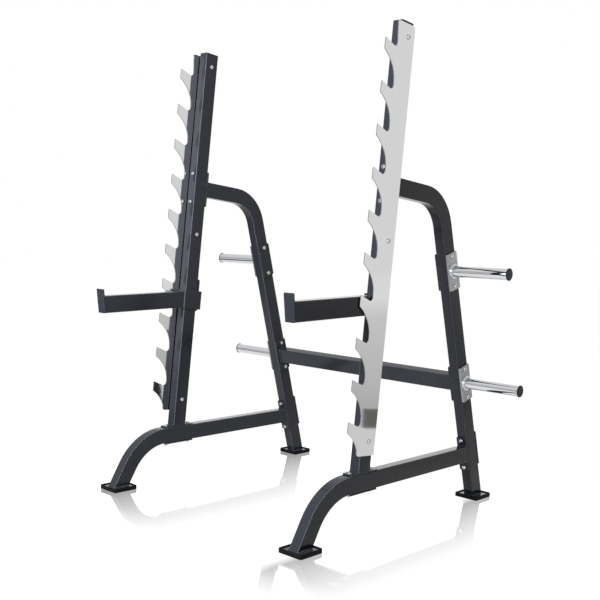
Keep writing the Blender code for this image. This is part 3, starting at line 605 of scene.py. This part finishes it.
hook_face = TUBE_WIDTH / 2 + HOOK_STANDOFF + HOOK_PLATE
seat_y = seat_middle.y + SEAT_SHIFT
leg_face = -(TUBE_DEPTH / 2 + GAP + JOINT_PLATE)
flange_centre = LEG_FRAME @ Vector((0.0, -(TUBE_DEPTH / 2 + GAP + JOINT_PLATE / 2), 0.0))
joint_point = intersect_line_plane(base_middle, base_middle + Y_AXIS, flange_centre, leg_normal)
joint_place = (LEG_FRAME.inverted() @ joint_point).z
half = BOLT_SPACING / 2
for label, side in SIDES.items():
    out = facing((side, 0, 0))
    kinds = {
        "hook_plate_bolt": (hook_face + TUBE_WIDTH / 2, False, True, {
            place: UPRIGHT_FRAME @ at(side * hook_face, TUBE_DEPTH / 2, height) @ out
            for place, height in HOOK_BOLTS.items()}),
        "top_arm_bolt": (TUBE_DEPTH + GAP + JOINT_PLATE, True, False, {
            place: UPRIGHT_FRAME @ at(z=TOP_ARM_HEIGHT + offset) @ facing((0, -1, 0))
            for place, offset in (("upper", half), ("lower", -half))}),
        "seat_bolt": (2 * THIN_PLATE + 2 * GAP + TUBE_DEPTH, True, False, {
            place: at(y=seat_y + offset, z=seat_top)
            for place, offset in (("front", -half), ("rear", half))}),
        "base_joint_bolt": (TUBE_DEPTH + 2 * (GAP + JOINT_PLATE), True, False, {
            place: LEG_FRAME @ at(y=leg_face, z=joint_place + offset) @ facing((0, -1, 0))
            for place, offset in (("upper", half), ("lower", -half))}),
    }
    for level, height in HORN_PLACES.items():
        grip = HORN_FACE + TUBE_WIDTH / 2 + GAP + JOINT_PLATE
        kinds[f"{level}_horn_bolt"] = (grip, level == "lower", False, {
            place: LEG_FRAME @ at(x=side * HORN_FACE, z=height + offset) @ out
            for place, offset in (("upper", half), ("lower", -half))})
    for kind, (grip, far_nut, spacer, places) in kinds.items():
        pattern = make_fastener("pattern", grip, far_nut, spacer)
        for place, stand in places.items():
            node = f"{label}_{kind}_{place}"
            bolt = bpy.data.objects.new(f"{node}_finished", pattern.data.copy())
            bpy.context.collection.objects.link(bolt)
            bolt.data.transform(side_plane(side) @ stand)
            fit(bolt, "frame", zinc, "zinc_fasteners", node)
        bpy.data.objects.remove(pattern, do_unlink=True)


# Safety arms.
# Each arm tube is welded to a sleeve that slides on the upright, with an upturned stop plate at its tip.
# They have the frame's coat. A plastic pad takes up the play behind the upright.
PAD_EDGE = 0.0012

for label in SIDES:
    node = f"{label}_safety_arm"
    fit(rounded_copy(node, COAT_EDGE), f"{label}_arm", coat, "powder_coat", node)
    node = f"{label}_bearing_pad"
    fit(rounded_copy(node, PAD_EDGE), f"{label}_arm", plastic, "black_plastic", node)


# Feet and tube caps.
# Each foot plate sits in a moulded black rubber tray. A plastic cap plugs the top of each upright.
RUBBER = (0.0014, 0.0014, 0.0018, 1.0)
RUBBER_LIGHT = (0.0036, 0.0036, 0.0042, 1.0)
TRAY_EDGE = 0.0018
CAP_EDGE = 0.0012

rubber = Finish("black_rubber")
pebble = rubber.noise(700.0, detail=2.0)
dust = rubber.noise(35.0, detail=4.0)
rubber.surface(
    Base_Color=rubber.blend(dust, RUBBER, RUBBER_LIGHT),
    Roughness=pebble * 0.15 + 0.50,
    Specular_IOR_Level=0.08,
    Normal=rubber.bump(pebble, 0.0001),
)
for label in SIDES:
    for which in ("front", "rear"):
        node = f"{label}_{which}_foot_pad"
        fit(rounded_copy(node, TRAY_EDGE), "frame", rubber, "black_rubber", node)
    node = f"{label}_upright_cap"
    fit(rounded_copy(node, CAP_EDGE), "frame", plastic, "black_plastic", node)


# Studio.
# A white floor runs to the horizon under an even white surround. Bright metal and glossy coat see a grey
# room instead, darker at the front left and brighter at the front right, and darker stretches of floor.
# Three soft lamps in front of the rack light it, and mirrors don't see them.
ROOM_STRENGTH = 8.0
ROOM = [
    (0.00, (0.12, 0.125, 0.13, 1.0)), (0.06, (0.068, 0.069, 0.073, 1.0)),
    (0.18, (0.068, 0.069, 0.073, 1.0)), (0.25, (0.087, 0.088, 0.091, 1.0)),
    (0.32, (0.128, 0.128, 0.128, 1.0)), (0.50, (0.128, 0.128, 0.128, 1.0)),
    (0.55, (0.119, 0.119, 0.119, 1.0)), (0.76, (0.119, 0.120, 0.121, 1.0)),
    (0.83, (0.40, 0.42, 0.46, 1.0)), (0.93, (0.40, 0.42, 0.46, 1.0)), (1.00, (0.12, 0.125, 0.13, 1.0)),
]
ROOM_ABOVE = (0.112, 0.112, 0.113, 1.0)
WINDOW = (0.225, 0.225, 0.225, 1.0)
SKYLIGHT = (0.90, 0.95, 1.0, 1.0)
WHITE = (1.0, 1.0, 1.0, 1.0)
FLOOR_GREY = (0.28, 0.28, 0.28, 1.0)
FLOOR_SHADOW = (0.02, 0.02, 0.02, 1.0)
FLOOR_RADIUS = 30.0
PATCH_LIFT = 0.001


def ray(finish, *kinds):
    """1 for any of these kinds of ray, and 0 for the rest."""
    path = finish.tree.nodes.new("ShaderNodeLightPath")
    seen = Signal(finish, path.outputs[kinds[0]])
    for kind in kinds[1:]:
        seen = seen.joined("MAXIMUM", seen, Signal(finish, path.outputs[kind]))
    return seen


surround = bpy.data.worlds.new("surround")
bpy.context.scene.world = surround
sky = Finish("surround", surround).bare()
direction = sky.node("ShaderNodeTexCoord", output="Generated")
sideward, frontward, rising = (
    sky.node("ShaderNodeSeparateXYZ", {}, {0: direction}, output=axis) for axis in "XYZ")
around = sky.node("ShaderNodeMath", {"operation": "ARCTAN2"}, {0: sideward, 1: frontward})
around = around * (0.5 / math.pi) + 0.5
room = sky.node("ShaderNodeValToRGB", {"stops": ROOM}, {0: around})
room = sky.blend(sky.fade(rising, (0.26, 1.0), (0.36, 0.0)), ROOM_ABOVE, room)
window_height = sky.fade(rising, (0.08, 0.0), (0.16, 1.0), (0.30, 1.0), (0.38, 0.0))
window_width = sky.fade(around, (0.30, 0.0), (0.34, 1.0), (0.43, 1.0), (0.47, 0.0))
room = sky.blend(window_height * window_width, room, WINDOW)
lighting = sky.node("ShaderNodeBackground", {}, {"Color": SKYLIGHT, "Strength": 0.30})
reflected = sky.node("ShaderNodeBackground", {}, {"Color": room, "Strength": ROOM_STRENGTH})
backdrop = sky.node("ShaderNodeBackground", {}, {"Color": WHITE, "Strength": 1.0})
mirrored = ray(sky, "Is Glossy Ray", "Is Transmission Ray")
shown = sky.node("ShaderNodeMixShader", {}, {0: mirrored, 1: lighting, 2: reflected})
shown = sky.node("ShaderNodeMixShader", {}, {0: ray(sky, "Is Camera Ray"), 1: shown, 2: backdrop})
sky.node("ShaderNodeOutputWorld", {}, {"Surface": shown})

bpy.ops.object.select_all(action="DESELECT")
bpy.ops.mesh.primitive_circle_add(vertices=64, radius=FLOOR_RADIUS, fill_type="NGON")
floor = bpy.context.object
floor.name = "floor"
paper = Finish("floor").bare()
plain = paper.node("ShaderNodeBsdfDiffuse", {}, {"Color": FLOOR_GREY})
shadowed = paper.node("ShaderNodeBsdfDiffuse", {}, {"Color": FLOOR_SHADOW})
glow = paper.node("ShaderNodeEmission", {}, {"Color": WHITE, "Strength": 1.0})
gloss = paper.node("ShaderNodeBsdfGlossy", {}, {"Color": WHITE, "Roughness": 0.04})
place = paper.node("ShaderNodeTexCoord", output="Object")
across, along = (paper.node("ShaderNodeSeparateXYZ", {}, {0: place}, output=axis) for axis in "XY")
beside_frames = paper.fade(
    across * 0.25 + 0.35, (0.16, 0.0), (0.20, 0.75), (0.37, 0.0), (0.497, 0.0), (0.512, 0.56), (0.61, 0.0))
between_feet = paper.fade(along * 0.25 + 0.5, (0.24, 0.0), (0.31, 1.0), (0.72, 1.0), (0.82, 0.0))
lit = paper.node("ShaderNodeMixShader", {}, {0: beside_frames * between_feet, 1: glow, 2: gloss})
lit = paper.node("ShaderNodeAddShader", {}, {0: lit, 1: shadowed})
seen = ray(paper, "Is Camera Ray", "Is Glossy Ray", "Is Transmission Ray")
mixed = paper.node("ShaderNodeMixShader", {}, {0: seen, 1: plain, 2: lit})
paper.node("ShaderNodeOutputMaterial", {}, {"Surface": mixed})
floor.data.materials.append(paper.data)


def dark_patch(name, place, lift, turn, size, stops):
    """A darker part of the floor that only mirrors see, shaded along its length."""
    bpy.ops.object.select_all(action="DESELECT")
    bpy.ops.mesh.primitive_plane_add(size=1.0, location=(*place, lift), rotation=(0, 0, turn))
    patch = bpy.context.object
    patch.scale = (*size, 1.0)
    patch.name = name
    dark = Finish(name).bare()
    length = dark.node("ShaderNodeTexCoord", output="Generated")
    length = dark.node("ShaderNodeSeparateXYZ", {}, {0: length}, output="X")
    shade = dark.node("ShaderNodeValToRGB", {"stops": stops}, {0: length})
    shade = dark.node("ShaderNodeEmission", {}, {"Color": shade, "Strength": 1.0})
    dark.node("ShaderNodeOutputMaterial", {}, {"Surface": shade})
    patch.data.materials.append(dark.data)
    patch.visible_camera = patch.visible_diffuse = patch.visible_shadow = False


dark_patch("front_floor", (-3.92, -3.78), PATCH_LIFT, math.radians(225.0), (7.1, 5.4), [
    (0.00, (0.70, 0.70, 0.70, 1.0)), (0.08, (0.22, 0.22, 0.23, 1.0)),
    (0.20, (0.16, 0.16, 0.17, 1.0)), (1.00, (0.16, 0.16, 0.17, 1.0)),
])
dark_patch("back_floor", (5.81, 6.28), PATCH_LIFT, math.radians(51.3), (14.2, 5.0), [
    (0.00, (0.86, 0.86, 0.87, 1.0)), (0.115, (0.86, 0.86, 0.87, 1.0)),
    (0.12, (0.60, 0.60, 0.60, 1.0)), (0.21, (0.68, 0.68, 0.68, 1.0)),
    (0.31, (0.71, 0.71, 0.71, 1.0)), (0.437, (0.764, 0.764, 0.766, 1.0)),
    (0.65, (0.80, 0.80, 0.805, 1.0)), (1.00, (0.90, 0.90, 0.905, 1.0)),
])
dark_patch("doorway", (2.114, 1.837), 3 * PATCH_LIFT, math.radians(50.97), (0.72, 0.35), [
    (0.00, (0.19, 0.19, 0.185, 1.0)), (0.08, (0.185, 0.18, 0.17, 1.0)),
    (0.15, (0.175, 0.165, 0.15, 1.0)), (0.93, (0.175, 0.165, 0.15, 1.0)),
    (0.95, (0.07, 0.065, 0.06, 1.0)), (1.00, (0.07, 0.065, 0.06, 1.0)),
])


def lamp(name, place, aim, size, power):
    """A soft rectangular lamp that mirrors don't see."""
    data = bpy.data.lights.new(name, "AREA")
    data.shape = "RECTANGLE"
    data.size, data.size_y = size
    data.energy = power
    light = bpy.data.objects.new(name, data)
    bpy.context.collection.objects.link(light)
    light.location = place
    light.rotation_euler = (Vector(aim) - Vector(place)).to_track_quat("-Z", "Y").to_euler()
    light.visible_glossy = light.visible_camera = False


lamp("key", (0.35, -4.0, 3.4), (0.0, 0.0, 1.1), (1.6, 2.0), 680.0)
lamp("fill", (4.6, -1.8, 3.0), (-0.4, 0.1, 0.9), (2.0, 2.0), 8.0)
lamp("inner_fill", (0.5, -2.6, 2.3), (-0.6, 0.2, 1.3), (0.4, 1.2), 165.0)


# Camera.
# It stands to the right of the rack and in front of it, 1.2 m above the floor, and looks slightly down.
CAMERA_PLACE = Vector((2.93984, -2.83690 + UPRIGHT_FRONT, 1.21699))
YAW, PITCH, ROLL = math.radians(43.063), math.radians(6.010), math.radians(1.951)
FOCAL_PIXELS, CENTRE_PIXELS, PICTURE = 919.02, 334.74, 600.0
SENSOR_WIDTH = 36.0

camera = bpy.data.objects.new("camera", bpy.data.cameras.new("camera"))
bpy.context.collection.objects.link(camera)
forward = Vector((-math.sin(YAW) * math.cos(PITCH), math.cos(YAW) * math.cos(PITCH), -math.sin(PITCH)))
level = Vector((math.cos(YAW), math.sin(YAW), 0.0))
upward = level.cross(forward)
right = level * math.cos(ROLL) + upward * math.sin(ROLL)
top = upward * math.cos(ROLL) - level * math.sin(ROLL)
camera.matrix_world = at(*CAMERA_PLACE) @ Matrix((right, top, -forward)).transposed().to_4x4()
camera.data.sensor_width = SENSOR_WIDTH
camera.data.lens = SENSOR_WIDTH * FOCAL_PIXELS / PICTURE
camera.data.shift_y = (CENTRE_PIXELS - PICTURE / 2) / PICTURE
camera.data.clip_end = 200.0
bpy.context.scene.camera = camera
bpy.context.scene.view_settings.view_transform = "Standard"
